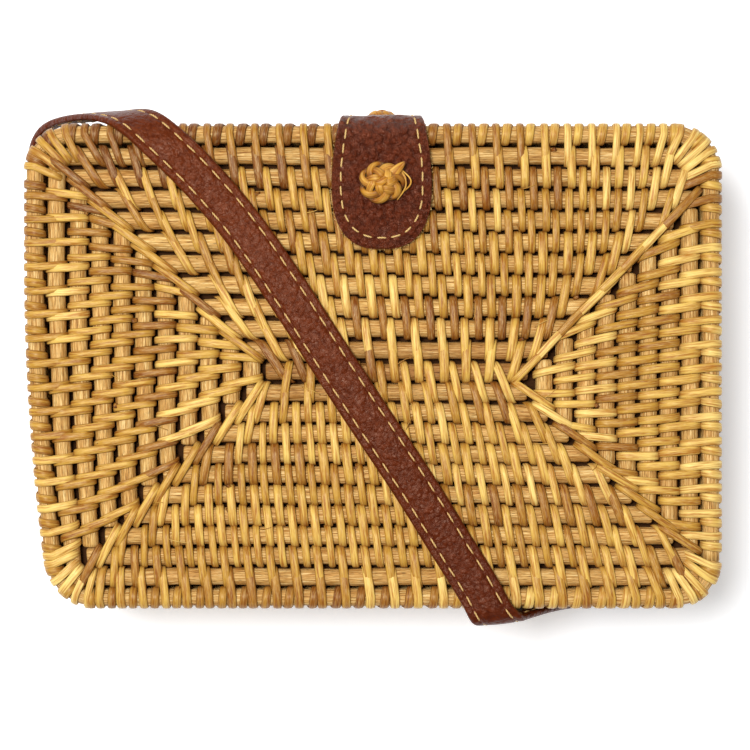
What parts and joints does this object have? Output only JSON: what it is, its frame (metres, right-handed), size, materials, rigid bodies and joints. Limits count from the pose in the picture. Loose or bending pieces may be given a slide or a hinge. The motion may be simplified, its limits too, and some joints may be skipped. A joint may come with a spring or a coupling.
{
  "type": "rattan box bag",
  "caption": "Rectangular woven rattan box bag in two hinged halves, with a leather closing flap over a rattan button knot and a stitched leather shoulder strap.",
  "frame": {"origin": "centre of the flat back, on the outer face of the back half's weave", "axes": "+X along the bag's width, +Y from the hinge side to the opening side, +Z from the back to the front"},
  "size_m": [0.2182, 0.1516, 0.0778],
  "materials": {
    "woven_rattan": "woven round cane and split binder, satin",
    "split_rattan": "split and peeled rattan, glossy skin",
    "lining_cloth": "plain woven cotton",
    "flap_leather": "pebbled, satin",
    "strap_leather": "fine grain, satin, stitched along both edges"
  },
  "bodies": {
    "back": {"back_basket": "woven_rattan", "back_lining": "lining_cloth", "hinge_lashing_left": "split_rattan", "hinge_lashing_middle": "split_rattan", "hinge_lashing_right": "split_rattan", "flap_knot": "split_rattan", "shoulder_strap": "strap_leather", "strap_knot_left": "split_rattan", "strap_knot_right": "split_rattan"},
    "lid": {"front_basket": "woven_rattan", "front_lining": "lining_cloth", "button_knot": "split_rattan"},
    "flap": {"closure_flap": "flap_leather"}
  },
  "joints": [
    {"name": "lid_hinge", "type": "hinge", "parent": "back", "child": "lid", "pos_m": [0, -0.0698, 0.0332], "axis": [1, 0, 0], "range_deg": [0, 105], "deforming": ["hinge_lashing_left", "hinge_lashing_middle", "hinge_lashing_right", "shoulder_strap"]},
    {"name": "flap_lift", "type": "hinge", "parent": "back", "child": "flap", "pos_m": [0.0025, 0.0708, 0.027], "axis": [-1, 0, 0], "range_deg": [0, 120], "deforming": ["closure_flap"]}
  ],
  "couplings": [
    {"joint": "flap_lift", "follows": "lid_hinge", "ratio": 1.1}
  ]
}
